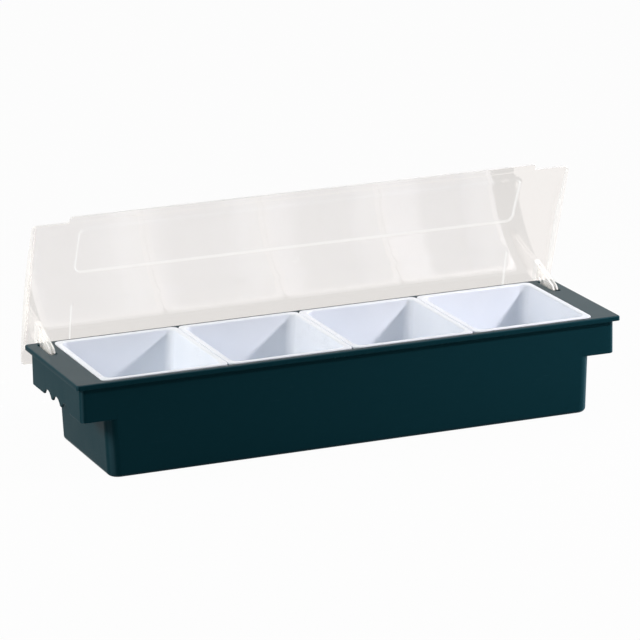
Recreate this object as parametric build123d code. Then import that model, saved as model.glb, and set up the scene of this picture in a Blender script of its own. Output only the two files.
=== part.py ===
from build123d import *
import math
import os

# Bar garnish tray: a long tub with a wing at each end, four lift-out pans and a clear hinged lid.
# Millimetres and degrees. X runs along the tray, Y runs to its back and Z is up. The origin is the
# centre of the underside, on the surface that the tray stands on. The lid is drawn wide open.

overrun = 6.0  # how far a cutting shape runs past the material

# Tray: rim, wings and tub
tray_length = 495.0
tray_depth = 140.0
tray_height = 85.0
tray_wall = 2.2
tray_floor = 2.5
rim_plate = 2.5  # thickness of the flat rim
rim_lip_height = 4.5  # turned-down edge, measured from the top of the rim
rim_lip_wall = 1.8
rim_overhang = 4.0  # how far the rim stands out past the skirts
rim_corner_radius = 2.5
rim_edge_radius = 1.5
lip_edge_bevel = 0.4
skirt_height = 34.0  # wing skirts, measured from the top of the rim
skirt_corner_radius = 4.5
wing_length = 24.7  # rim end to the top of the tub's end wall
tub_corner_radius = 10.0
tub_bottom_radius = 4.0
tub_inner_radius = 3.0
tub_end_draft = 2.2
tub_side_draft = 0.5
end_ledge = 3.35  # seat for the pan flanges at each end of the tub
side_ledge = 1.35  # the same along the front and the back
seat_recess = 1.5  # depth of the sunk seat under the flanges

# Finger scallops under each wing
scallop_count = 3
scallop_pitch = 23.0
scallop_width = 20.0
scallop_rise = 5.6

# Pans
pan_count = 4
pan_height = 54.0
pan_wall = 1.5
pan_draft = 6.0
pan_corner_radius = 9.0  # upright corners and bottom edge, outside
pan_lip_bevel = 0.8  # from the flange into the pan
flange_thickness = 2.0
flange_corner_radius = 6.0
flange_edge_bevel = 0.5
pan_spacing = 0.5  # gap between two flanges
seat_side_gap = 0.4  # flange to the edge of the sunk seat
seat_gap = 0.2  # flange to the floor of the sunk seat
pan_end_gap = 0.75  # top of a pan's wall to the tub's end wall

# Lid: a shallow dome, 70 degrees open
lid_chord = 140.0  # front edge to tail, across the outside
lid_rise = 6.3  # height of the dome over that chord
lid_wall = 2.0
lid_tail_inset = 1.0  # closed lid's tail, in from the rim's rear edge
lid_gap = 1.8  # closed panel's edge above the rim
lid_end_gap = 0.6  # closed end wall above the rim
lid_open_angle = 70.0
lid_corner_radius = 3.0
lid_lip_length = 430.0
lid_lip_reach = 6.0
lid_lip_wall = 1.5
lid_lip_radius = 3.0
panel_side_margin = 43.0  # raised panels, in from the lid's ends
panel_edge_margin = 7.8  # and in from its front edge and its tail
panel_depth = 48.4
panel_raise = 0.6
panel_corner_radius = 7.0
gate_radius = 2.5  # round gate mark between the raised panels
gate_raise = 0.4

# Hinge: studs on the lid's ears turn in blind sockets inside the wings
hinge_inset = 11.4  # hinge line, forward of the rim's rear edge
hinge_drop = 17.8  # hinge line, below the top of the rim
stud_radius = 3.0
stud_clearance = 0.08
stud_end_gap = 0.4
stud_engagement = 3.4
boss_wall = 2.4
ear_inset = 10.5  # rim end to the outer face of an ear
ear_width = 5.0
ear_plate = 1.5  # each of the two plates that make an ear
ear_hub_radius = 4.6
ear_side_gap = 0.3  # ear to socket boss
ear_rise = 18.5  # top of the ear above the rim, lid open
ear_shoulder_reach = 24.0  # shoulder of the ear's front edge, forward of the hinge line
ear_shoulder_rise = 3.6
ear_foot_reach = 26.4  # front of the ear at the level of the rim
ear_foot_radius = 1.6
ear_nose_radius = 4.0
ear_root_web = 5.0  # solid root between the plates, measured from the rim's rear edge
ear_hub_web = 9.0  # solid hub between the plates, measured up from the hinge line
ear_stop_gap = 0.25  # ear's heel above the rim when the lid is open
arch_reach = 6.5  # centre of the arch that clears the rear of the slot
arch_radius = 4.2
slot_width = 7.0
slot_front_gap = 3.9
slot_corner_radius = 1.5

# Levels, edges and places that follow from the sizes above
rim_top = tray_height
rear_edge = tray_depth / 2
skirt_length = tray_length - 2 * rim_overhang
skirt_depth = tray_depth - 2 * rim_overhang
skirt_bottom = rim_top - skirt_height
tub_top_length = tray_length - 2 * wing_length
seat_length = tub_top_length - 2 * tray_wall + 2 * end_ledge
seat_depth = skirt_depth - 2 * tray_wall + 2 * side_ledge
slot_rear = rear_edge - rim_overhang - tray_wall
hinge_y = rear_edge - hinge_inset
hinge_z = rim_top - hinge_drop
slot_front = hinge_y - ear_foot_reach - slot_front_gap
ear_centre = tray_length / 2 - ear_inset - ear_width / 2
scallop_radius = ((scallop_width / 2) ** 2 + scallop_rise**2) / (2 * scallop_rise)

pan_pitch = (seat_length - 2 * seat_side_gap + pan_spacing) / pan_count
flange_length = pan_pitch - pan_spacing
flange_depth = seat_depth - 2 * seat_side_gap
flange_overhang = end_ledge - seat_side_gap + pan_end_gap
flange_top = rim_top - seat_recess + seat_gap + flange_thickness

lid_radius = ((lid_chord / 2) ** 2 + lid_rise**2) / (2 * lid_rise)
lid_edge_angle = math.asin(lid_chord / 2 / lid_radius)
lid_centre_y = rear_edge - lid_tail_inset - lid_chord / 2
lid_crown_z = rim_top + lid_gap + lid_wall * math.cos(lid_edge_angle) + lid_rise
lid_centre_z = lid_crown_z - lid_radius
rim_sweep_radius = math.hypot(hinge_inset, hinge_drop)


def taper_outline(wide, narrow, top, bottom):
    """Trapezium that stands on its narrow side."""
    corners = [(-wide / 2, top), (wide / 2, top), (narrow / 2, bottom), (-narrow / 2, bottom)]
    return make_face(Polyline(*corners, close=True))


def leaning(size, rise, draft):
    """Distance between two leaning walls, at a rise above the level where it is size."""
    return size + 2 * rise * math.tan(math.radians(draft))


def drafted_block(length, depth, level, top, bottom, end_draft, side_draft):
    """Block of that length and depth at one level, whose walls lean in towards the bottom."""
    top_length = leaning(length, top - level, end_draft)
    top_depth = leaning(depth, top - level, side_draft)
    bottom_length = leaning(length, bottom - level, end_draft)
    bottom_depth = leaning(depth, bottom - level, side_draft)
    front_view = Plane.XZ * taper_outline(top_length, bottom_length, top, bottom)
    side_view = Plane.YZ * taper_outline(top_depth, bottom_depth, top, bottom)
    return extrude(front_view, depth, both=True) & extrude(side_view, length, both=True)


def corner_edges(block):
    """The four leaning edges of a drafted block."""
    return block.edges().filter_by(lambda edge: edge.bounding_box().size.Z > overrun)


def bottom_edges(block):
    """The edges round a block's underside."""
    return block.faces().sort_by(Axis.Z)[0].edges()


def upright_block(length, depth, radius, bottom, top):
    """Block with rounded corners and upright walls."""
    return Pos(0, 0, bottom) * extrude(RectangleRounded(length, depth, radius), top - bottom)


def bar_along_x(y, z, radius, length):
    """Round bar along X, centred on the middle of the tray."""
    return Pos(0, y, z) * Rot(0, 90, 0) * Cylinder(radius, length)


def make_rim():
    """Flat rim with a turned-down lip, open underneath."""
    rim = upright_block(tray_length, tray_depth, rim_corner_radius, rim_top - rim_lip_height, rim_top)
    rim = fillet(rim.faces().sort_by(Axis.Z)[-1].edges(), rim_edge_radius)
    rim = chamfer(rim.faces().sort_by(Axis.Z)[0].edges(), lip_edge_bevel)
    channel_length = tray_length - 2 * rim_lip_wall
    channel_depth = tray_depth - 2 * rim_lip_wall
    channel_radius = rim_corner_radius - rim_lip_wall
    channel_top = rim_top - rim_plate
    channel = upright_block(channel_length, channel_depth, channel_radius, skirt_bottom, channel_top)
    return rim - channel


def make_skirts():
    """Skirts of the two wings, flush with the tub's front and back."""
    top = rim_top - rim_plate / 2
    outer = upright_block(skirt_length, skirt_depth, skirt_corner_radius, skirt_bottom, top)
    inner_length = skirt_length - 2 * tray_wall
    inner_depth = skirt_depth - 2 * tray_wall
    inner_radius = skirt_corner_radius - tray_wall
    inner = upright_block(inner_length, inner_depth, inner_radius, skirt_bottom - overrun, top)
    middle = Pos(0, 0, rim_top) * Box(
        tub_top_length - 2 * tub_corner_radius, skirt_depth + overrun, 2 * skirt_height + overrun
    )
    return outer - inner - middle - scallop_tool()


def scallop_tool():
    """Bars that cut the finger scallops into the end skirts."""
    bars = []
    bar_z = skirt_bottom + scallop_rise - scallop_radius
    for index in range(scallop_count):
        y = (index - (scallop_count - 1) / 2) * scallop_pitch
        bars.append(bar_along_x(y, bar_z, scallop_radius, tray_length))
    return bars


def make_tub():
    """Outside of the tub, with its rounded bottom edge."""
    top = rim_top - rim_plate / 2
    tub = drafted_block(tub_top_length, skirt_depth, rim_top, top, 0, tub_end_draft, tub_side_draft)
    tub = fillet(corner_edges(tub), tub_corner_radius)
    return fillet(bottom_edges(tub), tub_bottom_radius)


def make_tub_hollow():
    """Inside of the tub, drawn up through the rim."""
    length = tub_top_length - 2 * tray_wall
    depth = skirt_depth - 2 * tray_wall
    top = rim_top + overrun
    hollow = drafted_block(length, depth, rim_top, top, tray_floor, tub_end_draft, tub_side_draft)
    hollow = fillet(corner_edges(hollow), tub_corner_radius - tray_wall)
    return fillet(bottom_edges(hollow), tub_inner_radius)


def slot_tool(side):
    """Slot in a wing's top for one ear."""
    bottom = rim_top - rim_plate - overrun / 2
    slot = upright_block(slot_width, slot_rear - slot_front, slot_corner_radius, bottom, rim_top + overrun)
    return Pos(side * ear_centre, (slot_rear + slot_front) / 2, 0) * slot


def socket_boss(side):
    """Boss on the inside of an end skirt, with the blind socket for a stud."""
    outer_x = skirt_length / 2 - tray_wall / 2
    inner_x = tray_length / 2 - ear_inset + ear_side_gap
    boss_radius = stud_radius + stud_clearance + boss_wall
    boss = Cylinder(boss_radius, outer_x - inner_x, align=(Align.CENTER, Align.CENTER, Align.MIN))
    return Pos(side * inner_x, hinge_y, hinge_z) * Rot(0, side * 90, 0) * boss


def socket_tool(side):
    """Blind bore of one socket."""
    mouth_x = tray_length / 2 - ear_inset
    depth = ear_side_gap + stud_engagement + stud_end_gap
    bore = Cylinder(stud_radius + stud_clearance, depth, align=(Align.CENTER, Align.CENTER, Align.MIN))
    return Pos(side * mouth_x, hinge_y, hinge_z) * Rot(0, side * 90, 0) * bore


def make_tray():
    """The whole tray, one moulding."""
    seat_radius = flange_corner_radius + seat_side_gap
    seat = upright_block(seat_length, seat_depth, seat_radius, rim_top - seat_recess, rim_top + overrun)
    tray = make_rim() + make_skirts() + make_tub()
    for side in (-1, 1):
        tray += socket_boss(side)
    tray -= make_tub_hollow()
    tray -= seat
    for side in (-1, 1):
        tray -= slot_tool(side)
        tray -= socket_tool(side)
    return tray


def make_pan(index):
    """One white pan with its flange, in its place."""
    underside = flange_top - pan_height
    length = flange_length - 2 * flange_overhang
    depth = flange_depth - 2 * flange_overhang
    shoulder = flange_top - flange_thickness / 2
    body = drafted_block(length, depth, shoulder, shoulder, underside, pan_draft, pan_draft)
    body = fillet(corner_edges(body) + bottom_edges(body), pan_corner_radius)
    flange_bottom = flange_top - flange_thickness
    flange = upright_block(flange_length, flange_depth, flange_corner_radius, flange_bottom, flange_top)
    flange = chamfer(flange.faces().sort_by(Axis.Z)[-1].edges(), flange_edge_bevel)
    length -= 2 * pan_wall
    depth -= 2 * pan_wall
    hollow = drafted_block(length, depth, shoulder, flange_top, underside + pan_wall, pan_draft, pan_draft)
    hollow = fillet(corner_edges(hollow) + bottom_edges(hollow), pan_corner_radius - pan_wall)
    pan = body + flange - hollow
    mouth = pan.faces().sort_by(Axis.Z)[-1].inner_wires()[0]
    pan = chamfer(mouth.edges(), pan_lip_bevel)
    return Pos((index - (pan_count - 1) / 2) * pan_pitch, 0, 0) * pan


def dome_shell(outer_radius, inner_radius):
    """Part of a long tube whose curve is the closed lid's, reaching past the lid's edges."""
    length = tray_length + overrun
    outer = bar_along_x(lid_centre_y, lid_centre_z, outer_radius, length)
    inner = bar_along_x(lid_centre_y, lid_centre_z, inner_radius, length + overrun)
    return outer - inner


def plan_block(length, front, rear, radius):
    """Upright block over a rounded rectangle of the closed lid's plan."""
    block = upright_block(length, rear - front, radius, rim_top - lid_chord, rim_top + lid_chord)
    return Pos(0, (front + rear) / 2, 0) * block


def make_panel():
    """Closed lid's domed panel with its finger lip, raised panels and gate mark."""
    front = lid_centre_y - lid_chord / 2
    rear = lid_centre_y + lid_chord / 2
    shell = dome_shell(lid_radius, lid_radius - lid_wall)
    panel = shell & plan_block(tray_length, front, rear, lid_corner_radius)
    lip_shell = dome_shell(lid_radius, lid_radius - lid_lip_wall)
    lip_root = front + lid_lip_radius + lid_wall
    panel += lip_shell & plan_block(lid_lip_length, front - lid_lip_reach, lip_root, lid_lip_radius)
    raised_length = tray_length - 2 * panel_side_margin
    raised_shell = dome_shell(lid_radius + panel_raise, lid_radius - lid_wall / 2)
    for edge in (front + panel_edge_margin, rear - panel_edge_margin - panel_depth):
        panel += raised_shell & plan_block(raised_length, edge, edge + panel_depth, panel_corner_radius)
    gate_root = lid_crown_z - lid_wall / 2
    gate = Cylinder(gate_radius, lid_wall / 2 + gate_raise, align=(Align.CENTER, Align.CENTER, Align.MIN))
    return panel + Pos(0, lid_centre_y, gate_root) * gate


def make_end_wall(side):
    """Closed lid's end wall, relieved where it would meet the rim's rear edge as the lid swings."""
    bottom = rim_top + lid_end_gap
    height = lid_crown_z - bottom
    wall = Box(lid_wall, lid_chord, height, align=(Align.CENTER, Align.CENTER, Align.MIN))
    wall = Pos(side * (tray_length - lid_wall) / 2, lid_centre_y, bottom) * wall
    front = lid_centre_y - lid_chord / 2
    rear = lid_centre_y + lid_chord / 2
    wall = wall & plan_block(tray_length, front, rear, lid_corner_radius)
    wall = wall & bar_along_x(lid_centre_y, lid_centre_z, lid_radius - lid_wall / 2, tray_length + overrun)
    return wall - bar_along_x(hinge_y, hinge_z, rim_sweep_radius + ear_stop_gap, tray_length + overrun)


def swung_open(shape):
    """A shape of the closed lid, turned about the hinge line to the open lid."""
    return Pos(0, hinge_y, hinge_z) * Rot(-lid_open_angle, 0, 0) * Pos(0, -hinge_y, -hinge_z) * shape


def ear_profile():
    """Side view of an ear with the lid open: heel on the rim, arch, shank and hub."""
    root_y = rear_edge + lid_chord / 4
    heel_z = rim_top + ear_stop_gap
    shank_rear = rear_edge - arch_reach - arch_radius
    shoulder = (hinge_y - ear_shoulder_reach, rim_top + ear_shoulder_rise)
    foot = (hinge_y - ear_foot_reach, rim_top)
    outline = Polyline(
        (root_y, heel_z),
        (root_y, rim_top + ear_rise),
        (rear_edge + lid_wall, rim_top + ear_rise),
        shoulder,
        foot,
        (shank_rear, rim_top),
        (shank_rear, heel_z),
        close=True,
    )
    upper = make_face(outline)
    upper = fillet(upper.vertices().sort_by_distance(shoulder)[0], ear_nose_radius)
    hub = Pos(hinge_y, hinge_z) * Circle(ear_hub_radius)
    level = Line((hinge_y - ear_foot_reach + ear_foot_radius, rim_top), (shank_rear, rim_top))
    shank = make_hull(ShapeList([*hub.edges(), level]))
    arch = Pos(rear_edge - arch_reach, heel_z) * Circle(arch_radius)
    return upper + shank - arch


def make_ear(side):
    """One ear of the open lid: two plates joined at the root and at the hub, with a stud outside."""
    profile = Plane.YZ * ear_profile()
    ear = Pos(side * ear_centre, 0, 0) * extrude(profile, ear_width / 2, both=True)
    gap_rear = rear_edge - ear_root_web
    gap_front = hinge_y - ear_foot_reach - overrun
    gap_bottom = hinge_z + ear_hub_web
    gap_top = rim_top + ear_rise + overrun
    gap = Box(ear_width - 2 * ear_plate, gap_rear - gap_front, gap_top - gap_bottom)
    ear -= Pos(side * ear_centre, (gap_rear + gap_front) / 2, (gap_top + gap_bottom) / 2) * gap
    face_x = tray_length / 2 - ear_inset
    stud_length = ear_side_gap + stud_engagement + ear_plate
    stud = Cylinder(stud_radius, stud_length, align=(Align.CENTER, Align.CENTER, Align.MIN))
    ear += Pos(side * (face_x - ear_plate), hinge_y, hinge_z) * Rot(0, side * 90, 0) * stud
    inside = bar_along_x(lid_centre_y, lid_centre_z, lid_radius - lid_wall / 2, tray_length + overrun)
    return ear & swung_open(inside)


def make_lid():
    """The whole lid, one clear moulding, open."""
    lid = make_panel()
    for side in (-1, 1):
        lid += make_end_wall(side)
    lid = swung_open(lid)
    for side in (-1, 1):
        lid += make_ear(side)
    return lid


os.makedirs("parts", exist_ok=True)
export_step(make_tray(), "parts/tray.step")
export_step(make_lid(), "parts/lid.step")
for number in range(pan_count):
    export_step(make_pan(number), f"parts/insert_{number + 1}.step")
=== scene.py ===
import math

import bmesh
import bpy
from mathutils import Matrix, Vector


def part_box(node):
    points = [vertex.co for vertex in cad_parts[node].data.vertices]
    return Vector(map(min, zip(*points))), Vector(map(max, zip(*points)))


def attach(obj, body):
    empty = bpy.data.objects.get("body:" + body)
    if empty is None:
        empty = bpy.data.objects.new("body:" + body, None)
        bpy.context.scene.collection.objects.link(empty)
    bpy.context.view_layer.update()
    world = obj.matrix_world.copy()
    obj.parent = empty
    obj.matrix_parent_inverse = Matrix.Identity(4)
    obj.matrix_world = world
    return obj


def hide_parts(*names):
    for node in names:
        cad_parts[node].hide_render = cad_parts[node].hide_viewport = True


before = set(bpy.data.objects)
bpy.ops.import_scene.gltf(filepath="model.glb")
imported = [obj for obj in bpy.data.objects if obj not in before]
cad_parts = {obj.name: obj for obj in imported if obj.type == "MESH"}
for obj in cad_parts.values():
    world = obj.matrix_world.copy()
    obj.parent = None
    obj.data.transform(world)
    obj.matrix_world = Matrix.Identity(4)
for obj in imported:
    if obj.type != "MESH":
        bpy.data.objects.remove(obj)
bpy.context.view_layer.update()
print("frame loaded with", len(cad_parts), "nodes")

mm = 0.001  # the object's sizes are in millimetres and degrees, the scene is in metres
weldDistance = 1e-7  # metres


# One output of a node, so that sums can be written out
class Wire:
    def __init__(self, recipe, socket):
        self.recipe = recipe
        self.socket = socket

    def maths(self, operation, *values):
        return self.recipe.node("Math", {"operation": operation}, dict(enumerate(values)))

    def __add__(self, other):
        return self.maths("ADD", self, other)

    def __radd__(self, other):
        return self.maths("ADD", other, self)

    def __sub__(self, other):
        return self.maths("SUBTRACT", self, other)

    def __rsub__(self, other):
        return self.maths("SUBTRACT", other, self)

    def __mul__(self, other):
        return self.maths("MULTIPLY", self, other)

    def __rmul__(self, other):
        return self.maths("MULTIPLY", other, self)

    def __abs__(self):
        return self.maths("ABSOLUTE", self)

    def larger(self, other):
        return self.maths("MAXIMUM", self, other)

    def clipped(self, low, high):  # 0 at low, 1 at high
        settings = {"clamp": True, "interpolation_type": "SMOOTHSTEP"}
        sockets = {"Value": self, "From Min": low, "From Max": high}
        return self.recipe.node("MapRange", settings, sockets)

    def beside(self, line, band):  # the same, for a place and a band in millimetres from a line
        return self.clipped((line + band[0]) * mm, (line + band[1]) * mm)

    def sibling(self, name):  # another output of the same node
        return Wire(self.recipe, self.socket.node.outputs[name])


# The nodes of one material or of the world
class Recipe:
    def __init__(self, owner):
        owner.use_nodes = True
        self.owner = owner
        self.tree = owner.node_tree
        self.tree.nodes.clear()

    def node(self, kind, settings=None, sockets=None, output=0):
        made = self.tree.nodes.new("ShaderNode" + kind)
        for name, value in (settings or {}).items():
            setattr(made, name, value)
        for name, value in (sockets or {}).items():
            if isinstance(value, Wire):
                self.tree.links.new(value.socket, made.inputs[name])
            else:
                made.inputs[name].default_value = value
        return Wire(self, made.outputs[output]) if made.outputs else None

    def colours(self, factor, first, second):
        return self.node("Mix", {"data_type": "RGBA"}, {0: factor, 6: first, 7: second}, 2)

    def along(self, direction, way):  # 1 where a direction is the way, 0 across it, -1 against it
        settings = {"operation": "DOT_PRODUCT"}
        return self.node("VectorMath", settings, {0: direction, 1: way}, "Value")

    def stretched(self, place, scale):
        return self.node("Mapping", {}, {0: place, 3: scale})

    def noise(self, place, scale, detail, roughness=0.5):
        sockets = {"Vector": place, "Scale": scale, "Detail": detail, "Roughness": roughness}
        return self.node("TexNoise", {"noise_dimensions": "3D"}, sockets)

    def bump(self, look, height):
        sockets = {"Strength": look["bump"], "Distance": look["bumpDepth"] * mm, "Height": height}
        return self.node("Bump", {}, sockets)

    def surface(self, shader):
        self.node("OutputMaterial", {}, {"Surface": shader})
        return self.owner


def newFinish(name):
    return Recipe(bpy.data.materials.new(name))


# Camera at the photograph's place
view = {
    "place": (-1168.9, -2889.5, 956.2),
    "azimuth": -21.951,
    "elevation": 15.465,
    "roll": -1.1,
    "focal": 3777.4,  # in pixels of the frame
    "frame": 640,
    "sensor": 36,
    "farthest": 100,  # metres
}


def makeCamera():
    angles = (math.radians(view[name]) for name in ("azimuth", "elevation", "roll"))
    azimuth, elevation, roll = angles
    level = math.cos(elevation)
    back = Vector((math.sin(azimuth) * level, -math.cos(azimuth) * level, math.sin(elevation)))
    right = Vector((0, 0, 1)).cross(back).normalized()
    up = back.cross(right)
    rightTurned = math.cos(roll) * right + math.sin(roll) * up
    upTurned = math.cos(roll) * up - math.sin(roll) * right
    lens = bpy.data.cameras.new("camera")
    lens.sensor_width = view["sensor"]
    lens.lens = view["focal"] / view["frame"] * view["sensor"]
    lens.clip_end = view["farthest"]
    camera = bpy.data.objects.new("camera", lens)
    bpy.context.scene.collection.objects.link(camera)
    turn = Matrix((rightTurned, upTurned, back)).transposed().to_4x4()
    camera.matrix_world = Matrix.Translation(Vector(view["place"]) * mm) @ turn
    bpy.context.scene.camera = camera


makeCamera()
bpy.context.scene.view_settings.view_transform = "Standard"

# Lamps, in metres: place, target, size, watts, colour and share of diffuse light
lamps = {
    "leftSoft": ((-0.95, 0.03, 0.50), (-0.30, 0, 0), 0.35, 6.1, (1.0, 0.97, 0.90), 1),
    "rightKey": ((0.66, -0.50, 0.58), (0, 0, 0.07), 0.09, 6.6, (1.0, 0.94, 0.94), 1),
    # Only a gleam on the rounded corners
    "cornerStrip": ((1.20, -0.15, 0.06), (0.18, -0.06, 0.04), 0.16, 11.0, (1.0, 1.0, 1.0), 0),
}
studio = {
    "white": (1, 1, 1, 1),
    "skyAbove": 0.430,
    "skyFront": 0.02,
    "skyLean": (0.0, 0.45, 0.89),  # the sky is brightest this way
    "skyBand": (-0.1, 0.8),  # from its darkest to its brightest
    "skyColour": (0.95, 1.0, 0.98, 1.0),
    "floorShadow": 0.03,  # share of the floor that is lit by the lamps, and so shows the shadow
    "floorColour": (0.45, 0.45, 0.45, 1.0),
    "floorSize": 60,  # metres
    "floorDrop": 0.2,
}


def makeLamp(name, place, target, size, watts, colour, diffuse):
    lamp = bpy.data.lights.new(name, "AREA")
    lamp.shape = "DISK"
    lamp.size = size
    lamp.energy = watts
    lamp.color = colour
    lamp.diffuse_factor = diffuse
    shade = bpy.data.objects.new(name, lamp)
    bpy.context.scene.collection.objects.link(shade)
    away = Vector(place) - Vector(target)
    turn = away.to_track_quat("Z", "Y").to_matrix().to_4x4()
    shade.matrix_world = Matrix.Translation(place) @ turn
    shade.visible_camera = False
    shade.visible_transmission = False


def seenDirectly(recipe):  # 1 for the eye, in gloss and through clear plastic
    eye = recipe.node("LightPath", output="Is Camera Ray")
    return eye.larger(eye.sibling("Is Glossy Ray")).larger(eye.sibling("Is Transmission Ray"))


def makeStudio():
    world = bpy.data.worlds.new("studio")
    bpy.context.scene.world = world
    sky = Recipe(world)
    facing = sky.along(sky.node("TexCoord", output="Generated"), studio["skyLean"])
    front = studio["skyFront"]
    level = front + facing.clipped(*studio["skyBand"]) * (studio["skyAbove"] - front)
    dim = sky.node("Background", {}, {"Color": studio["skyColour"], "Strength": level})
    white = sky.node("Background", {}, {"Color": studio["white"], "Strength": 1})
    mixed = sky.node("MixShader", {}, {0: seenDirectly(sky), 1: dim, 2: white})
    sky.node("OutputWorld", {}, {"Surface": mixed})

    paper = newFinish("paleFloor")
    lit = paper.node("BsdfDiffuse", {}, {"Color": studio["floorColour"]})
    bright = paper.node("Emission", {}, {"Color": studio["white"], "Strength": 1})
    share = seenDirectly(paper) * (1 - studio["floorShadow"])
    paper.surface(paper.node("MixShader", {}, {0: share, 1: lit, 2: bright}))
    place = (0, 0, -studio["floorDrop"] * mm)
    bpy.ops.mesh.primitive_plane_add(size=studio["floorSize"], location=place)
    floor = bpy.context.object
    floor.name = "floor"
    floor.data.materials.append(paper.owner)
    for name, values in lamps.items():
        makeLamp(name, *values)


makeStudio()
print("camera and studio made")

halfLength, halfDepth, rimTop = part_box("tray")[1] / mm

# Hinge, shared by the tray and the lid: its line is measured from the rim's rear edge and top,
# and the outer faces of the lid's ears from the rim's ends
hinge = {
    "inset": 11.4,
    "drop": 17.8,
    "earInset": 10.5,
    "earWidth": 5.0,
    "socket": 3.08,
    "socketDepth": 4.1,
    "bossWall": 2.4,
    "bossGap": 0.3,
    "bossTip": 0.4,
}
hingeY = halfDepth - hinge["inset"]
hingeZ = rimTop - hinge["drop"]
earFace = halfLength - hinge["earInset"]
earCentre = earFace - hinge["earWidth"] / 2

# Finishes. A noise is (scale, detail, roughness); a band goes from none at its first value to all
# at its second.
tubPlastic = {
    "colour": (0.0036, 0.0270, 0.0370, 1),
    "faded": (0.0068, 0.0350, 0.0470, 1),
    "paintedEdgeSheen": (0.0300, 0.0700, 0.0920, 1),  # painted highlight: a lighter colour on rounded edges in place of their sheen
    "patches": (26, 4.0),
    "patchBand": (0.42, 0.66),
    "grain": (1400, 2.0),
    "scuffs": (60, 6.0, 0.7),
    "scuffStretch": (1.0, 1.0, 7.0),
    "scuffBand": (0.56, 0.74),
    "fading": 0.8,
    "edgeBand": (0.05, 0.22),  # from flat to rounded
    "sheenStrength": 0.5,
    "sheenEven": 0.6,  # even part of the painted edge highlight, and the part that the patches add
    "sheenPatches": 0.8,
    "roughness": 0.50,
    "patchRoughness": 0.16,
    "scuffRoughness": 0.10,
    "bump": 0.10,
    "bumpDepth": 0.4,
    "patchBump": 0.6,
    "gloss": 0.035,
    "glossTint": (0.20, 0.90, 1.0, 1),
    "rimBand": (-0.6, -0.1),  # from the rim's top
    "rimPolish": 0.45,
    "turnBand": (0.68, 0.95),
    "edgePolish": 0.6,  # sheen where a rounded edge turns away
    "polishRoughness": 0.3,
}


def makeTubPlastic():
    look = tubPlastic
    recipe = newFinish("darkTealPlastic")
    place = recipe.node("TexCoord", output="Object")
    height = recipe.node("SeparateXYZ", {}, {0: place}, "Z")
    patches = recipe.noise(place, *look["patches"])
    grain = recipe.noise(place, *look["grain"])
    scuffs = recipe.noise(recipe.stretched(place, look["scuffStretch"]), *look["scuffs"])
    worn = scuffs.clipped(*look["scuffBand"]) * patches.clipped(*look["patchBand"])
    colour = recipe.colours(worn * look["fading"], look["colour"], look["faded"])
    faces = recipe.node("SeparateXYZ", {}, {0: recipe.node("TexCoord", output="Normal")})
    tilts = [abs(faces.sibling(axis)) for axis in "XYZ"]
    rounded = 1 - tilts[0].larger(tilts[1]).larger(tilts[2])
    uneven = look["sheenEven"] + patches * look["sheenPatches"]
    # Painted highlight: rounded edges get a lighter colour, as if they caught the lamps
    paintedEdgeSheen = rounded.clipped(*look["edgeBand"]) * uneven * look["sheenStrength"]
    rim = height.beside(rimTop, look["rimBand"]) * look["rimPolish"]
    turned = recipe.node("LayerWeight", {}, {"Blend": 0.5}, "Facing").clipped(*look["turnBand"])
    mottled = look["roughness"] + (patches - 0.5) * look["patchRoughness"]
    sockets = {
        "Base Color": recipe.colours(paintedEdgeSheen, colour, look["paintedEdgeSheen"]),
        "Roughness": mottled + worn * look["scuffRoughness"],
        "Normal": recipe.bump(look, grain + patches * look["patchBump"]),
        "Coat Weight": rim.larger(turned * look["edgePolish"]),
        "Coat Roughness": look["polishRoughness"],
        "Specular IOR Level": look["gloss"],
        "Specular Tint": look["glossTint"],
    }
    return recipe.surface(recipe.node("BsdfPrincipled", {}, sockets))


panPlastic = {
    "colour": (0.800, 0.842, 0.915, 1),
    "shaded": (0.775, 0.822, 0.900, 1),
    "clouds": (18, 3.0),
    "cloudBand": (0.35, 0.65),
    "ripple": (90, 2.0),
    "grain": (1800, 1.0),
    "roughness": 0.30,
    "cloudRoughness": 0.12,
    "grainRoughness": 0.08,
    "bump": 0.06,
    "bumpDepth": 0.4,
    "rippleBump": 1.4,
    "grainBump": 0.3,
    "bend": 1.5,
}


def makePanPlastic():
    look = panPlastic
    recipe = newFinish("whitePanPlastic")
    place = recipe.node("TexCoord", output="Object")
    names = ("clouds", "ripple", "grain")
    clouds, ripple, grain = (recipe.noise(place, *look[name]) for name in names)
    mottled = look["roughness"] + (clouds - 0.5) * look["cloudRoughness"]
    cloudy = clouds.clipped(*look["cloudBand"])
    sockets = {
        "Base Color": recipe.colours(cloudy, look["colour"], look["shaded"]),
        "Roughness": mottled + (grain - 0.5) * look["grainRoughness"],
        "Normal": recipe.bump(look, ripple * look["rippleBump"] + grain * look["grainBump"]),
        "IOR": look["bend"],
    }
    return recipe.surface(recipe.node("BsdfPrincipled", {}, sockets))


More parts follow.
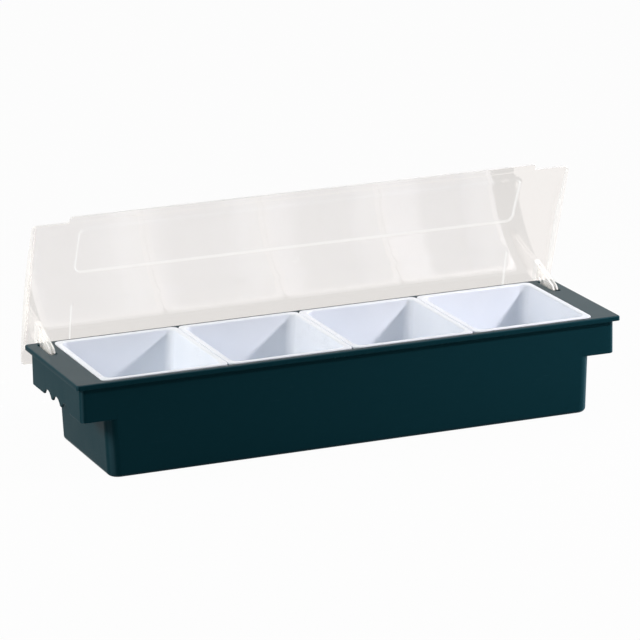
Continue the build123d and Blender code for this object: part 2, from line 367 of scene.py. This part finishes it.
lidPlastic = {
    "tint": (0.918, 0.884, 0.858, 1),
    "paintedBorderLight": (1.0, 0.99, 0.975, 1),  # painted highlight: untinted along the panels' borders and at the edges, so they show as bright lines
    "shade": (0.86, 0.85, 0.84, 1),  # what its shadow lets through
    "roughness": 0.03,
    "smears": (22, 5.0, 0.6),
    "smearStretch": (0.5, 1.0, 2.5),
    "smearBand": (0.5, 0.8),
    "smudge": 0.05,
    "flow": (9, 1.0),
    "flowStretch": (0.25, 1.0, 1.0),
    "bump": 0.08,
    "bumpDepth": 0.6,
    "bend": 1.04,  # close to 1, as a thin wall shows no bending
    "coat": 1.0,
    "coatBend": 1.78,
    "coatRoughness": 0.06,
    "domeWay": (0.0, 0.940, 0.342),  # the way that the open lid's back faces
    "slantBand": (0.92, 0.972),  # from slanted borders to the plain dome
    "slantCoat": 0.8,  # how much of the coat the borders lose
    "frost": (0.93, 0.93, 0.93, 1),  # milky look of cut edges and hinge ears
    "frostRoughness": 0.6,
    "frostShare": 0.26,
    "earInner": (-5.4, -4.8),  # from the ear's outer face
    "earOuter": (0.2, 0.6),
    "earTop": (17, 19),  # above the rim
    "earRear": (-3, 1),  # from the rim's rear edge
    "earSideBand": (0.5, 0.9),
    "earSideClear": 0.8,
    "edgeWay": (0.0, -0.342, 0.940),  # the way that the open lid's upper edges face
    "edgeBand": (0.55, 0.85),
    "edgeShare": 0.75,
    "endBand": (0.9, 0.97),
    "endShare": 0.22,
}


def makeLidPlastic():
    look = lidPlastic
    recipe = newFinish("clearLidPlastic")
    place = recipe.node("TexCoord", output="Object")
    smears = recipe.noise(recipe.stretched(place, look["smearStretch"]), *look["smears"])
    flow = recipe.noise(recipe.stretched(place, look["flowStretch"]), *look["flow"])
    faces = recipe.node("TexCoord", output="Normal")
    slanted = 1 - abs(recipe.along(faces, look["domeWay"])).clipped(*look["slantBand"])
    sockets = {
        # Painted highlight: the slanted borders take the untinted colour, so they show as bright
        # lines
        "Base Color": recipe.colours(slanted, look["tint"], look["paintedBorderLight"]),
        "Roughness": look["roughness"] + smears.clipped(*look["smearBand"]) * look["smudge"],
        "Normal": recipe.bump(look, flow),
        "IOR": look["bend"],
        "Transmission Weight": 1,
        "Coat Weight": look["coat"] - slanted * look["slantCoat"],
        "Coat Roughness": look["coatRoughness"],
        "Coat IOR": look["coatBend"],
    }
    clear = recipe.node("BsdfPrincipled", {}, sockets)
    dull = {"Base Color": look["frost"], "Roughness": look["frostRoughness"]}
    milky = recipe.node("BsdfPrincipled", {}, dull)

    # The ears are milky, less so on their sides, and so are the lid's upper edges and its ends
    where = recipe.node("SeparateXYZ", {}, {0: place})
    sideways = abs(where.sibling("X"))
    inner, outer = (sideways.beside(earFace, look[name]) for name in ("earInner", "earOuter"))
    inEar = inner * (1 - outer)
    lowDown = 1 - where.sibling("Z").beside(rimTop, look["earTop"])
    inFront = 1 - where.sibling("Y").beside(halfDepth, look["earRear"])
    sidelong = abs(recipe.node("SeparateXYZ", {}, {0: faces}, "X"))
    offSides = 1 - sidelong.clipped(*look["earSideBand"]) * look["earSideClear"]
    ears = inEar * lowDown * inFront * offSides * look["frostShare"]
    edges = recipe.along(faces, look["edgeWay"]).clipped(*look["edgeBand"]) * look["edgeShare"]
    ends = sidelong.clipped(*look["endBand"]) * look["endShare"]
    frosted = ears.larger(edges).larger(ends)
    whole = recipe.node("MixShader", {}, {0: frosted, 1: clear, 2: milky})
    letThrough = recipe.node("BsdfTransparent", {}, {"Color": look["shade"]})
    inShadow = recipe.node("LightPath", output="Is Shadow Ray")
    return recipe.surface(recipe.node("MixShader", {}, {0: inShadow, 1: whole, 2: letThrough}))


finishes = {"tray": makeTubPlastic(), "inserts": makePanPlastic(), "lid": makeLidPlastic()}
print("finishes made")


# Mesh helpers
def arc(centreX, centreY, radius, start, end, steps=8):
    places = []
    for step in range(steps + 1):
        angle = math.radians(start + (end - start) * step / steps)
        places.append((centreX + radius * math.cos(angle), centreY + radius * math.sin(angle)))
    return places


def ring(halfX, halfY, radius, z, steps=8):  # level rectangle with round corners
    points = []
    for quarter, (signX, signY) in enumerate(((1, 1), (-1, 1), (-1, -1), (1, -1))):
        for step in range(steps + 1):
            angle = math.radians(90 * (quarter + step / steps))
            x = signX * (halfX - radius) + radius * math.cos(angle)
            y = signY * (halfY - radius) + radius * math.sin(angle)
            points.append((x, y, z))
    return points


def newPiece(name, points, faces):
    mesh = bpy.data.meshes.new(name)
    mesh.from_pydata([Vector(point) * mm for point in points], [], faces)
    work = bmesh.new()
    work.from_mesh(mesh)
    bmesh.ops.remove_doubles(work, verts=work.verts, dist=weldDistance)
    bmesh.ops.recalc_face_normals(work, faces=work.faces)
    work.to_mesh(mesh)
    work.free()
    piece = bpy.data.objects.new(name, mesh)
    bpy.context.scene.collection.objects.link(piece)
    return piece


def loft(name, loops):  # skins loops of equal length, with flat ends
    count = len(loops[0])
    points = [point for loop in loops for point in loop]
    faces = []
    for start in range(0, len(points) - count, count):
        above = start + count
        for k in range(count):
            after = (k + 1) % count
            faces.append((start + k, start + after, above + after, above + k))
    faces.append(tuple(range(count)))
    faces.append(tuple(range(len(points) - count, len(points))))
    return newPiece(name, points, faces)


def settle(piece):  # makes its modifiers part of the mesh
    shown = piece.evaluated_get(bpy.context.evaluated_depsgraph_get())
    mesh = bpy.data.meshes.new_from_object(shown)
    piece.modifiers.clear()
    old = piece.data
    piece.data = mesh
    bpy.data.meshes.remove(old)


def combine(piece, tool, operation):
    bpy.context.view_layer.update()
    change = piece.modifiers.new(operation, "BOOLEAN")
    change.operation = operation
    change.solver = "EXACT"
    change.object = tool
    settle(piece)
    bpy.data.objects.remove(tool)
    return piece


def finishPiece(piece, body, nodes, slot, angle=28):  # edges sharper than the angle stay sharp
    mesh = piece.data
    mesh.shade_smooth()
    mesh.set_sharp_from_angle(angle=math.radians(angle))
    weights = piece.modifiers.new("weights", "WEIGHTED_NORMAL")
    weights.keep_sharp = True
    settle(piece)
    piece.data.materials.clear()
    piece.data.materials.append(finishes[slot])
    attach(piece, body)
    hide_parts(*nodes)


def wallInset(rise, radius, draft):  # how far a leaning wall with a rounded foot stands in
    lean = math.radians(draft)
    if rise >= radius * (1 - math.sin(lean)):
        return -rise * math.tan(lean)
    turn = math.acos(1 - rise / radius)
    return radius * (1 - math.sin(lean)) / math.cos(lean) - radius * math.sin(turn)


leastCorner = 0.3  # the tightest upright corner that a rounded foot leaves


# Rings of a leaning wall from its foot upwards; the sizes are those of a foot that isn't rounded
def wallRings(halfX, halfY, corner, bottom, radius, drafts, top):
    rises = [radius * (1 - cosine) for cosine, sine in arc(0, 0, 1, 0, 90)]
    loops = []
    for rise in rises + [top - bottom]:
        insetX, insetY = (wallInset(rise, radius, draft) for draft in drafts)
        inset = min(max(0, (insetX + insetY) / 2), corner - leastCorner)
        loops.append(ring(halfX - insetX, halfY - insetY, corner - inset, bottom + rise))
    return loops


def bar(name, place, radius, length, steps=48, tip=0.0):  # round bar along X, with a bevelled tip
    middleX, middleY, middleZ = place
    stations = [(0, radius), (length, radius)]
    if tip:
        bevel = length - math.copysign(tip, length)
        stations = [(0, radius), (bevel, radius), (length, radius - tip)]
    loops = []
    for offset, size in stations:
        loop = []
        for step in range(steps):
            angle = 2 * math.pi * step / steps
            y, z = middleY + size * math.cos(angle), middleZ + size * math.sin(angle)
            loop.append((middleX + offset, y, z))
        loops.append(loop)
    return loft(name, loops)


# Tray
tray = {
    "wall": 2.2,
    "floor": 2.5,
    "plate": 2.5,
    "overhang": 4.0,  # from the skirt to the rim's edge
    "rimCorner": 2.5,
    "rimEdge": 1.5,
    "rimSteps": 6,
    "lipHeight": 4.5,
    "lipWall": 1.8,
    "lipEdge": ((0, 0.45), (0.13, 0.13), (0.45, 0)),  # inwards, and up from the lip's bottom
    "lipInnerEdge": 0.2,
    "lipInnerCorner": 0.7,
    "skirtHeight": 34.0,
    "skirtCorner": 4.5,
    "skirtLead": 6.0,  # straight part beside the corner
    "skirtEdge": ((0, 0.6), (0.18, 0.18), (0.6, 0)),  # inwards, and up from the skirt's bottom
    "skirtSunk": 0.03,  # the skirt's root hides this deep in the tub's wall
    "wing": 24.7,
    "tubCorner": 10.0,
    "tubFoot": 4.0,
    "innerFoot": 3.0,
    "endDraft": 2.2,
    "sideDraft": 0.5,
    "endLedge": 3.35,
    "sideLedge": 1.35,
    "seat": 1.5,
    "seatCorner": 6.4,
    "seatEdge": ((0, 0.35), (0.1, 0.1), (0.35, 0)),  # outwards, and down from the rim's top
    "scallopPitch": 23.0,
    "scallopWidth": 20.0,
    "scallopRise": 5.6,
    "scallopSteps": 69,  # from the middle scallop's centre to the last one's outer side
    "slotWidth": 7.0,
    "slotCorner": 1.5,
    "slotFront": 28.3,
    # Up from the rim's top, and how much wider the slot is there
    "slotEdge": ((-6.0, 0.0), (-0.4, 0.0), (-0.1, 0.1), (0.02, 0.4), (4.0, 0.4)),
}


def makeTrayShell():
    topX, topY = halfLength - tray["wing"], halfDepth - tray["overhang"]
    wall, floor, corner = tray["wall"], tray["floor"], tray["tubCorner"]
    drafts = tray["endDraft"], tray["sideDraft"]
    leanX, leanY = (math.tan(math.radians(draft)) for draft in drafts)

    # Upwards inside the tub, over its edge to the pans' seat, and up to the rim
    drop = rimTop - floor
    innerX, innerY = topX - wall - drop * leanX, topY - wall - drop * leanY
    seatLevel = rimTop - tray["seat"]
    loops = wallRings(innerX, innerY, corner - wall, floor, tray["innerFoot"], drafts, seatLevel)
    seatX, seatY = topX - wall + tray["endLedge"], topY - wall + tray["sideLedge"]
    seatCorner = tray["seatCorner"]
    loops.append(ring(seatX, seatY, seatCorner, seatLevel))
    for out, down in tray["seatEdge"]:
        loops.append(ring(seatX + out, seatY + out, seatCorner + out, rimTop - down))

    # Outwards over the rim, down its lip and back under the plate
    edge, rimCorner = tray["rimEdge"], tray["rimCorner"]
    for cosine, sine in arc(0, 0, 1, 0, 90, tray["rimSteps"]):
        inset = edge * (1 - sine)
        level = rimTop - edge * (1 - cosine)
        loops.append(ring(halfLength - inset, halfDepth - inset, rimCorner - inset, level))
    lipBottom = rimTop - tray["lipHeight"]
    for inset, up in tray["lipEdge"]:
        loops.append(ring(halfLength - inset, halfDepth - inset, rimCorner - inset, lipBottom + up))
    insideX, insideY = halfLength - tray["lipWall"], halfDepth - tray["lipWall"]
    insideCorner, insideEdge = tray["lipInnerCorner"], tray["lipInnerEdge"]
    plateBottom = rimTop - tray["plate"]
    for out, level in ((insideEdge, lipBottom), (0, lipBottom + insideEdge), (0, plateBottom)):
        loops.append(ring(insideX + out, insideY + out, insideCorner + out, level))

    # Down the outside of the tub
    footX, footY = topX - rimTop * leanX, topY - rimTop * leanY
    loops += reversed(wallRings(footX, footY, corner, 0, tray["tubFoot"], drafts, plateBottom))
    return loft("tray", loops)


def makeSkirt(side):
    outerX = halfLength - tray["overhang"]
    outerY = halfDepth - tray["overhang"]
    bottom = rimTop - tray["skirtHeight"]
    top = rimTop - tray["plate"] / 2
    rootX = halfLength - tray["wing"] - tray["tubCorner"]
    corner, wall, edge = tray["skirtCorner"], tray["wall"], tray["skirtEdge"]
    pitch, span, rise = tray["scallopPitch"], tray["scallopWidth"], tray["scallopRise"]
    radius = ((span / 2) ** 2 + rise**2) / (2 * rise)

    # Places along the skirt with their outward directions: front side, end, rear side
    front = [(rootX, -outerY, 0, -1), (outerX - corner - tray["skirtLead"], -outerY, 0, -1)]
    for along, across in arc(0, 0, 1, -90, 0):
        x, y = outerX - corner + corner * along, -outerY + corner + corner * across
        front.append((x, y, along, across))
    count, reach = tray["scallopSteps"], 1.5 * pitch
    end = [(outerX, reach * step / count, 1, 0) for step in range(-count, count + 1)]
    rear = [(x, -y, along, -across) for x, y, along, across in reversed(front)]

    sideLean = math.tan(math.radians(tray["sideDraft"]))
    loops = []
    for x, y, along, across in front + end + rear:
        level = bottom
        for centre in (-pitch, 0, pitch):
            if along == 1 and abs(y - centre) < span / 2:
                level = bottom + rise - radius + math.sqrt(radius**2 - (y - centre) ** 2)
        profile = [(0, top)] + [(inset, level + up) for inset, up in edge]
        profile += [(wall - inset, level + up) for inset, up in reversed(edge)] + [(wall, top)]
        loop = []
        for inset, z in profile:
            if x == rootX:
                inset += sideLean * (rimTop - z) + tray["skirtSunk"]
            loop.append((side * (x - inset * along), y - inset * across, z))
        loops.append(loop)
    return loft("skirt", loops)


def makeSlotCutter(side):
    front = tray["slotFront"]
    rear = halfDepth - tray["overhang"] - tray["wall"]
    halfX, halfY, corner = tray["slotWidth"] / 2, (rear - front) / 2, tray["slotCorner"]
    loops = []
    for up, spread in tray["slotEdge"]:
        loop = ring(halfX + spread, halfY + spread, corner + spread, rimTop + up)
        loops.append([(x + side * earCentre, y + (rear + front) / 2, z) for x, y, z in loop])
    return loft("slotCutter", loops)


def makeTray():
    piece = makeTrayShell()
    bossRadius = hinge["socket"] + hinge["bossWall"]
    for side in (-1, 1):
        combine(piece, makeSkirt(side), "UNION")
        bossStart = side * (earFace + hinge["bossGap"])
        bossEnd = side * (halfLength - tray["overhang"] - tray["wall"] / 2)
        place, length = (bossEnd, hingeY, hingeZ), bossStart - bossEnd
        combine(piece, bar("boss", place, bossRadius, length, tip=hinge["bossTip"]), "UNION")
        place, length = (side * earFace, hingeY, hingeZ), side * hinge["socketDepth"]
        combine(piece, bar("socket", place, hinge["socket"], length), "DIFFERENCE")
        combine(piece, makeSlotCutter(side), "DIFFERENCE")
    finishPiece(piece, "tray", ["tray"], "tray")


makeTray()
print("tray made")

# Pans
pan = {
    "wall": 1.5,
    "draft": 6.0,
    "corner": 9.0,
    "overhang": 3.7,  # from the body to the flange's edge
    "mouth": 1.3,  # rounding from the inner wall to the flange
    "mouthSteps": 6,
    "flange": 2.0,
    "flangeCorner": 6.0,
    "flangeEdge": 0.6,
    "flangeSteps": 4,
    "flangeUnder": 0.2,
}


def makePan(number):
    node = f"insert_{number}"
    low, high = (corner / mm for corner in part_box(node))
    middle = (low.x + high.x) / 2
    halfX, halfY, top = (high.x - low.x) / 2, (high.y - low.y) / 2, high.z
    shoulder = top - pan["flange"] / 2
    lean = math.tan(math.radians(pan["draft"]))
    drafts = pan["draft"], pan["draft"]
    bodyX, bodyY = halfX - pan["overhang"], halfY - pan["overhang"]

    # Upwards inside, outwards over the mouth and the flange, and down the outside
    floor = low.z + pan["wall"]
    innerX = bodyX - pan["wall"] - (shoulder - floor) * lean
    innerY = bodyY - pan["wall"] - (shoulder - floor) * lean
    inside = pan["corner"] - pan["wall"]
    mouth = pan["mouth"]
    loops = wallRings(innerX, innerY, inside, floor, inside, drafts, top - mouth)
    mouthX = innerX + (top - mouth - floor) * lean
    mouthY = innerY + (top - mouth - floor) * lean
    for cosine, sine in arc(0, 0, 1, 0, 90, pan["mouthSteps"])[1:]:
        out = mouth * (1 - cosine)
        loops.append(ring(mouthX + out, mouthY + out, inside + out, top - mouth + mouth * sine))
    edge, corner = pan["flangeEdge"], pan["flangeCorner"]
    for cosine, sine in arc(0, 0, 1, 0, 90, pan["flangeSteps"]):
        inset = edge * (1 - sine)
        level = top - edge * (1 - cosine)
        loops.append(ring(halfX - inset, halfY - inset, corner - inset, level))
    under, edge = top - pan["flange"], pan["flangeUnder"]
    for inset, level in ((0, under + edge), (edge, under)):
        loops.append(ring(halfX - inset, halfY - inset, corner - inset, level))
    footX = bodyX - (shoulder - low.z) * lean
    footY = bodyY - (shoulder - low.z) * lean
    loops += reversed(wallRings(footX, footY, pan["corner"], low.z, pan["corner"], drafts, under))
    loops = [[(x + middle, y, z) for x, y, z in loop] for loop in loops]
    piece = loft(f"pan_{number}", loops)
    finishPiece(piece, node, [node], "inserts")


for number in range(1, 5):
    makePan(number)
print("pans made")

# Lid, shaped closed and then swung open
lid = {
    "chord": 140.0,
    "rise": 6.3,
    "wall": 2.0,
    "tailInset": 1.0,
    "gap": 1.8,
    "endGap": 0.6,
    "open": 70.0,
    "corner": 3.0,
    "lipLength": 430.0,
    "lipReach": 6.0,
    "lipWall": 1.5,
    "lipFillet": 1.5,
    "lipThinning": (-0.9, 0.3),  # the wall thins over this band at the lid's front edge
    "panelSide": 43.0,
    "panelEdge": 7.8,
    "panelDepth": 48.4,
    "panelRaise": 0.8,
    "panelCorner": 7.0,
    "panelBorder": 1.9,
    "panelFade": 9.0,  # the border towards the lid's front edge is this wide
    "panelTurn": (1.2, -0.2),  # slope and start of the change from one border to the other
    "panelOutside": 0.35,  # share of a border that lies outside the panel's outline
    "gate": 2.5,
    "gateRaise": 0.4,
    "gateBorder": 0.8,
    "gateField": 3.5,
    "earPlate": 1.5,  # an ear is two plates, joined at the root and at the hub
    "earHub": 4.6,
    "earRise": 18.5,
    "earRoot": 5.0,
    "earHubWeb": 9.0,
    "earGapCorner": 0.5,
    "shoulderReach": 24.0,
    "shoulderRise": 3.6,
    "nose": 4.0,
    "footReach": 26.4,
    "footStep": 1.6,
    "heel": 0.25,
    "arch": 4.2,
    "archReach": 6.5,
    "stud": 3.0,
    "studReach": 3.7,
    "studTip": 0.4,
}
# Steps between the slab's grid lines, and how far the fine ones go past a panel
grid = {
    "lip": 2,
    "thinning": 0.3,
    "between": 3,
    "border": 0.55,
    "inside": 4,
    "gate": 0.5,
    "length": 12,
    "end": 9,
    "pastPanel": 1,
    "pastPanelEnd": 1.5,
}
# How far blanks and cutters reach past the finished shape
spare = {"slab": 1.5, "wallEnd": 1.2, "wall": 1, "plan": 60, "relief": 6, "gap": 6, "trim": 5}
# Steps round the curves
curve = {
    "wall": 40,
    "relief": 160,
    "trim": 900,
    "fillet": 5,
    "nose": 8,
    "hub": 20,
    "arch": 12,
    "gap": 4,
    "stud": 40,
}

lidRadius = ((lid["chord"] / 2) ** 2 + lid["rise"] ** 2) / (2 * lid["rise"])
lidEdgeAngle = math.asin(lid["chord"] / 2 / lidRadius)
lidMiddle = halfDepth - lid["tailInset"] - lid["chord"] / 2
lidCrown = rimTop + lid["gap"] + lid["wall"] * math.cos(lidEdgeAngle) + lid["rise"]
lidCentreZ = lidCrown - lidRadius
lidFront = lidMiddle - lid["chord"] / 2
lidRear = lidMiddle + lid["chord"] / 2
panelX = halfLength - lid["panelSide"]
panelFronts = lidFront + lid["panelEdge"], lidRear - lid["panelEdge"] - lid["panelDepth"]


def lines(*parts):  # grid lines from a first value through (end, step) pairs
    values = [parts[0]]
    for end, step in parts[1:]:
        start = values[-1]
        count = max(1, round((end - start) / step))
        values.extend(start + (end - start) * k / count for k in range(1, count + 1))
    return values


def ramp(value):  # smooth 0 to 1
    value = min(1, max(0, value))
    return value * value * (3 - 2 * value)


def panelHeight(x, y):  # raised panels and the gate mark between them
    height = 0
    corner, halfY = lid["panelCorner"], lid["panelDepth"] / 2
    slope, start = lid["panelTurn"]
    for front in panelFronts:
        middle = front + halfY
        across = abs(x) - panelX + corner
        along = abs(y - middle) - halfY + corner
        reach = math.hypot(max(across, 0), max(along, 0))
        outside = reach + min(max(across, along), 0) - corner
        forward = max(along, 0) / reach if reach > 0 else float(along > across)
        border = lid["panelBorder"]
        if y < middle:
            border += (lid["panelFade"] - border) * ramp(forward * slope + start)
        height = max(height, lid["panelRaise"] * ramp(lid["panelOutside"] - outside / border))
    disc = lid["gate"] - math.hypot(x, y - lidMiddle)
    return max(height, lid["gateRaise"] * ramp(0.5 + disc / lid["gateBorder"]))


def onDome(x, y, lift):
    angle = math.asin((y - lidMiddle) / lidRadius)
    radius = lidRadius + lift
    return (x, lidMiddle + radius * math.sin(angle), lidCentreZ + radius * math.cos(angle))


def panelLines(front):  # from the part before a panel to its rear border
    back = front + lid["panelDepth"]
    return (
        (front - grid["pastPanel"], grid["between"]),
        (front + lid["panelFade"], grid["border"]),
        (back - lid["panelFade"], grid["inside"]),
        (back + grid["pastPanel"], grid["border"]),
    )


def makeLidSlab():
    thinStart, thinEnd = (lidFront + edge for edge in lid["lipThinning"])
    half = lines(
        0,
        (lid["gateField"], grid["gate"]),
        (panelX - lid["panelFade"], grid["length"]),
        (panelX + grid["pastPanelEnd"], grid["border"]),
        (halfLength + spare["slab"], grid["end"]),
    )
    across = [-x for x in reversed(half[1:])] + half
    along = lines(
        lidFront - lid["lipReach"] - spare["slab"],
        (thinStart, grid["lip"]),
        (thinEnd, grid["thinning"]),
        *panelLines(panelFronts[0]),
        (lidMiddle - lid["gateField"], grid["between"]),
        (lidMiddle + lid["gateField"], grid["gate"]),
        *panelLines(panelFronts[1]),
        (lidRear + spare["slab"], grid["between"]),
    )
    points = []
    for y in along:
        points.extend(onDome(x, y, panelHeight(x, y)) for x in across)
    for y in along:
        share = ramp((y - thinStart) / (thinEnd - thinStart))
        thickness = lid["lipWall"] + (lid["wall"] - lid["lipWall"]) * share
        points.extend(onDome(x, y, panelHeight(x, y) - thickness) for x in across)
    wide, deep = len(across), len(along)
    under = wide * deep
    faces = []
    for row in range(deep - 1):
        for k in range(wide - 1):
            a = row * wide + k
            faces.append((a, a + 1, a + wide + 1, a + wide))
            faces.append((under + a, under + a + wide, under + a + wide + 1, under + a + 1))
    for row in range(deep - 1):
        for k in (0, wide - 1):
            a = row * wide + k
            faces.append((a, a + wide, under + a + wide, under + a))
    for k in range(wide - 1):
        for row in (0, deep - 1):
            a = row * wide + k
            faces.append((a, a + 1, under + a + 1, under + a))
    return newPiece("lid", points, faces)


def makePlanBlock():  # outline of the closed lid seen from above, with the finger lip
    corner, fillet = lid["corner"], lid["lipFillet"]
    lipX, lipY = lid["lipLength"] / 2, lidFront - lid["lipReach"]
    right = arc(lipX - corner, lipY + corner, corner, -90, 0)
    right += arc(lipX + fillet, lidFront - fillet, fillet, 180, 90, curve["fillet"])
    right += arc(halfLength - corner, lidFront + corner, corner, -90, 0)
    right += arc(halfLength - corner, lidRear - corner, corner, 0, 90)
    outline = right + [(-x, y) for x, y in reversed(right)]
    levels = rimTop - spare["plan"], rimTop + spare["plan"]
    return loft("planBlock", [[(x, y, level) for x, y in outline] for level in levels])


def makeEndWall(side):
    inner, outer = side * (halfLength - lid["wall"]), side * (halfLength + spare["wallEnd"])
    front, rear = lidFront - spare["wall"], lidRear + spare["wall"]
    bottom = rimTop + lid["endGap"]
    top = lidRadius - lid["wall"] / 2
    outline = [(front, bottom), (rear, bottom)]
    for step in range(curve["wall"] + 1):
        y = rear - (rear - front) * step / curve["wall"]
        outline.append((y, lidCentreZ + math.sqrt(top**2 - (y - lidMiddle) ** 2)))
    wall = loft("endWall", [[(x, y, z) for y, z in outline] for x in (inner, outer)])
    # The wall clears the tray's rim as it turns about the hinge
    radius = math.hypot(hinge["inset"], hinge["drop"]) + lid["heel"]
    start = (side * (halfLength - spare["relief"]), hingeY, hingeZ)
    relief = bar("relief", start, radius, side * 2 * spare["relief"], curve["relief"])
    return combine(wall, relief, "DIFFERENCE")


def swingOpen(piece):
    pivot = Vector((0, hingeY, hingeZ)) * mm
    turn = Matrix.Rotation(math.radians(-lid["open"]), 4, "X")
    piece.data.transform(Matrix.Translation(pivot) @ turn @ Matrix.Translation(-pivot))


def touchAngle(place, centre, radius, way):  # where a line from a place touches a circle
    offset = Vector(place) - Vector(centre)
    return math.atan2(offset.y, offset.x) + way * math.acos(radius / offset.length)


def earOutline():  # seen from the side, with the lid open
    heel = rimTop + lid["heel"]
    root = halfDepth + lid["chord"] / 4
    crest = rimTop + lid["earRise"]
    arch, archY = lid["arch"], halfDepth - lid["archReach"]
    shoulder = Vector((hingeY - lid["shoulderReach"], rimTop + lid["shoulderRise"]))
    rearTop = Vector((halfDepth + lid["wall"], crest))
    foot = Vector((hingeY - lid["footReach"], rimTop))
    outline = [(archY + arch, heel), (root, heel), (root, crest), tuple(rearTop)]

    # Rounded shoulder between the upper edge and the foot
    before, after = (rearTop - shoulder).normalized(), (foot - shoulder).normalized()
    half = before.angle(after) / 2
    centre = shoulder + (before + after).normalized() * lid["nose"] / math.sin(half)
    reach = lid["nose"] / math.tan(half)
    start, end = shoulder + before * reach - centre, shoulder + after * reach - centre
    for step in range(curve["nose"] + 1):
        outward = start.lerp(end, step / curve["nose"]).normalized()
        outline.append(tuple(centre + outward * lid["nose"]))
    outline.append(tuple(foot))

    # Down through the slot, round the hub, up again and over the arch
    hub, radius = (hingeY, hingeZ), lid["earHub"]
    shankFront, shankRear = (foot.x + lid["footStep"], rimTop), (archY - arch, rimTop)
    startAngle = touchAngle(shankFront, hub, radius, 1)
    endAngle = touchAngle(shankRear, hub, radius, -1)
    while endAngle < startAngle:
        endAngle += 2 * math.pi
    outline.append(shankFront)
    outline += arc(*hub, radius, math.degrees(startAngle), math.degrees(endAngle), curve["hub"])
    outline.append(shankRear)
    outline += arc(archY, heel, arch, 180, 0, curve["arch"])[:-1]
    return outline


def makeEar(side):
    outline = earOutline()
    sides = side * (earFace - hinge["earWidth"]), side * earFace
    piece = loft("ear", [[(x, y, z) for y, z in outline] for x in sides])

    # Gap between the ear's two plates
    rear, front = halfDepth - lid["earRoot"], hingeY - lid["footReach"] - spare["gap"]
    bottom, top = hingeZ + lid["earHubWeb"], rimTop + lid["earRise"] + spare["gap"]
    halfX, halfY = hinge["earWidth"] / 2 - lid["earPlate"], (rear - front) / 2
    loops = []
    for z in (bottom, top):
        loop = ring(halfX, halfY, lid["earGapCorner"], z, curve["gap"])
        loops.append([(x + side * earCentre, y + (rear + front) / 2, z) for x, y, z in loop])
    combine(piece, loft("gap", loops), "DIFFERENCE")

    # The ear ends inside the lid's wall
    start = (-halfLength - spare["trim"], lidMiddle, lidCentreZ)
    length = 2 * halfLength + 2 * spare["trim"]
    trim = bar("trim", start, lidRadius - lid["wall"] / 2, length, curve["trim"])
    swingOpen(trim)
    combine(piece, trim, "INTERSECT")
    start = (side * (earFace - lid["earPlate"] / 2), hingeY, hingeZ)
    length = side * (lid["studReach"] + lid["earPlate"] / 2)
    stud = bar("stud", start, lid["stud"], length, curve["stud"], lid["studTip"])
    return combine(piece, stud, "UNION")


def makeLid():
    piece = makeLidSlab()
    for side in (-1, 1):
        combine(piece, makeEndWall(side), "UNION")
    combine(piece, makePlanBlock(), "INTERSECT")
    swingOpen(piece)
    for side in (-1, 1):
        combine(piece, makeEar(side), "UNION")
    finishPiece(piece, "lid", ["lid"], "lid", 25)


makeLid()
print("lid made")
